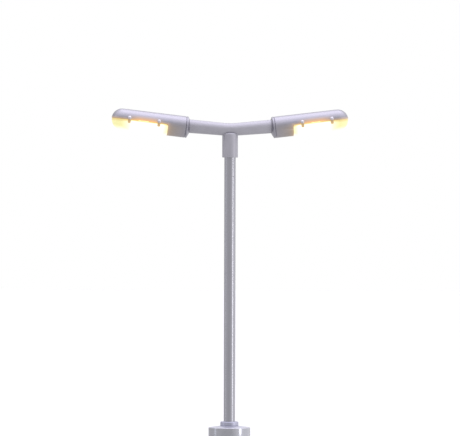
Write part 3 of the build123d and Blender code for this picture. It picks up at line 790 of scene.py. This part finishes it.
def clip_boss():
    """Low dome, centred on the boss's height."""
    steps = 8
    outline = [(BOSS_RADIUS, -CLIP_DEPTH)]
    for step in range(steps + 1):
        angle = math.pi / 2 * step / steps
        outline.append((BOSS_RADIUS * math.cos(angle), BOSS_HEIGHT * math.sin(angle)))
    boss = lathe("boss", outline, joined=False, turns=32)
    boss.data.transform(Matrix.Translation((0, CLIP_BOSS_ANGLE * HEAD_RADIUS, 0)))
    return boss


def wrap_round_head(part, position, face):
    """Wraps a flat part round the head, on its front (face 1) or its back (face -1)."""
    for vertex in part.data.vertices:
        x, y, z = vertex.co
        angle, radius = y / HEAD_RADIUS, HEAD_RADIUS + z
        across = face * radius * math.cos(angle)
        vertex.co = (position + x, across, radius * math.sin(angle))


def make_clips(name, side, node):
    """Four snap clips: a domed boss on the shell and a tongue down over the lens."""
    mesh = bmesh.new()
    for position in CLIP_POSITIONS:
        for face in (1, -1):
            for part in (clip_tongue(), clip_boss()):
                wrap_round_head(part, position, face)
                mesh.from_mesh(part.data)
                bpy.data.objects.remove(part)
    clips = finish_mesh(name, mesh)
    settle(clips, "mast", [node], CLIP_PLASTIC, head_place(side), sharp=50)


# ------------------------------------------------------------------ pieces with their CAD shape
CAD_FINISHES = {
    "socket_insulator": BLACK_PLASTIC,
    "socket_base_disc": BLACK_PLASTIC,
    "plug_insulator": BLACK_PLASTIC,
    "outer_contact_sleeve": BRASS,
    "centre_contact_socket": BRASS,
    "contact_cage": BRASS,
    "plug_barrel": BRASS,
    "plug_centre_pin": BRASS,
    "plug_solder_joints": SOLDER,
    "driver_board": GREEN_BOARD,
    "rectifier_diodes": EPOXY,
    "series_resistor": EPOXY,
    "solder_lugs": TINNED,
}
HEAD_CAD_FINISHES = {
    "led_board": WHITE_BOARD,
    "led": WARM_LED,
    "solder_joints": SOLDER,
    "live_wire": RED_ENAMEL,
    "return_wire": GREEN_ENAMEL,
}


def finish_cad_nodes():
    """Puts a material on every node that no piece replaces."""
    finishes = dict(CAD_FINISHES)
    for side in SIDES:
        for piece, material in HEAD_CAD_FINISHES.items():
            finishes[f"{side}_{piece}"] = material
    for node, material in finishes.items():
        for material_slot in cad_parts[node].material_slots:
            material_slot.material = material


# ------------------------------------------------------------------ studio, in metres
CAMERA_DISTANCE = 0.860
CAMERA_TURN = math.radians(4.5)
CAMERA_ROLL = math.radians(-0.15)
FRAME_WIDTH = 0.092
VIEW_CENTRE = Vector((0.00002, 0, 0.0444))
SENSOR_WIDTH = 36
FLOOR_RADIUS = 2.5
WORLD_LEVEL = 0.77


def around(azimuth, elevation, distance, height=0.04):
    """Point at an azimuth right of the camera's side of the object, and an elevation."""
    turn, rise = math.radians(azimuth) - CAMERA_TURN, math.radians(elevation)
    return Vector(
        (
            distance * math.sin(turn) * math.cos(rise),
            -distance * math.cos(turn) * math.cos(rise),
            height + distance * math.sin(rise),
        )
    )


def make_camera():
    """Long lens, level with the middle of the picture, a little to the left of the front."""
    data = bpy.data.cameras.new("camera")
    data.sensor_width = SENSOR_WIDTH
    data.lens = SENSOR_WIDTH * CAMERA_DISTANCE / FRAME_WIDTH
    data.clip_start, data.clip_end = 0.05, 20
    camera = bpy.data.objects.new("camera", data)
    bpy.context.scene.collection.objects.link(camera)
    turn = Matrix.Rotation(-CAMERA_TURN, 3, "Z")
    camera.location = turn @ (VIEW_CENTRE + Vector((0, -CAMERA_DISTANCE, 0)))
    level = Matrix.Rotation(math.pi / 2, 3, "X")
    roll = Matrix.Rotation(CAMERA_ROLL, 3, "Y")
    camera.rotation_euler = (turn @ roll @ level).to_euler()
    bpy.context.scene.camera = camera


def make_floor():
    """Pale plain floor, level with the object's lowest point."""
    floor = lathe("floor", [(0, 0), (FLOOR_RADIUS, 0)], joined=False, turns=64)
    floor.location.z = cad_low.z
    finish = Finish("pale_floor", Roughness=0.6)
    clouds = finish.noise(0.02, 2.0)
    finish.set("Base Color", finish.blend(clouds, (0.80, 0.80, 0.80), (0.84, 0.84, 0.84)))
    floor.data.materials.append(finish.material)
    # the bright floor doesn't wash out the underside of the lamp
    floor.visible_glossy = False
    floor.visible_diffuse = False


def area_light(name, size, radiance, location, target, colour=(1, 1, 1)):
    """Rectangular light whose strength is given as radiance, whatever its size in metres."""
    data = bpy.data.lights.new(name, "AREA")
    data.shape = "RECTANGLE"
    data.size, data.size_y = size
    data.energy = radiance * math.pi * size[0] * size[1]
    data.color = colour
    light = bpy.data.objects.new(name, data)
    bpy.context.scene.collection.objects.link(light)
    light.location = location
    light.rotation_euler = (target - location).to_track_quat("-Z", "Y").to_euler()


def make_world():
    """White surroundings: brightest overhead, brighter on the right than on the left.

    The camera itself sees plain white, whatever light falls on the object.
    """
    world = bpy.data.worlds.new("studio")
    world.use_nodes = True
    nodes = Nodes(world.node_tree)
    background = nodes.tree.nodes["Background"]
    direction = nodes.node("ShaderNodeTexCoord").outputs["Generated"]
    parts = nodes.node("ShaderNodeSeparateXYZ", inputs={0: direction})
    across, up = parts.outputs["X"], parts.outputs["Z"]
    strength = WORLD_LEVEL
    for value, start, full, amount in (
        (up, 0.35, 1.0, 1.25),
        (up, -0.1, -0.9, 0.12),
        (across, 0.1, 0.9, 0.5),
        (across, -0.5, -0.95, 0.1),
    ):
        ramp = nodes.span(value, start, full, 0.0, amount, smooth=True)
        strength = nodes.math("ADD", strength, ramp)
    high_up = nodes.span(up, 0.2, 1.0, smooth=True)
    tint = nodes.blend(high_up, (1, 1, 1), (0.97, 0.96, 1.05))
    seen = nodes.node("ShaderNodeLightPath").outputs["Is Camera Ray"]
    unseen = nodes.math("SUBTRACT", 1.0, seen)
    nodes.feed(background.inputs["Color"], nodes.blend(seen, tint, (1, 1, 1)))
    nodes.feed(background.inputs["Strength"], nodes.math("MULTIPLY_ADD", strength, unseen, seen))
    bpy.context.scene.world = world


def make_lights():
    middle = Vector((0, 0, 0.04))
    area_light("overhead", (0.45, 0.45), 0.8, around(150, 78, 0.6), middle, (0.97, 0.95, 1.0))
    # the right strip ends below the lamp heads, which don't mirror it
    foot_level = Vector((0, 0, 0.02))
    area_light("right_strip", (0.085, 0.1), 3.9, around(63, 0, 0.5, 0.02), foot_level)
    area_light("left_strip", (0.045, 0.6), 1.1, around(-84, 4, 0.5), middle, (0.85, 0.93, 1.0))
    make_world()


# ------------------------------------------------------------------ build
make_socket()
make_collar()
make_mast()
make_tee()
for side_name, side_sign in SIDES.items():
    make_end_cap(f"{side_name}_cap", side_sign, f"{side_name}_end_cap")
    make_housing(f"{side_name}_shell", side_sign, f"{side_name}_housing")
    make_diffuser(f"{side_name}_diffuser", side_sign, f"{side_name}_lens")
    make_clips(f"{side_name}_snap_clips", side_sign, f"{side_name}_lens_clips")
finish_cad_nodes()
make_camera()
make_floor()
make_lights()
bpy.context.scene.view_settings.view_transform = "Standard"
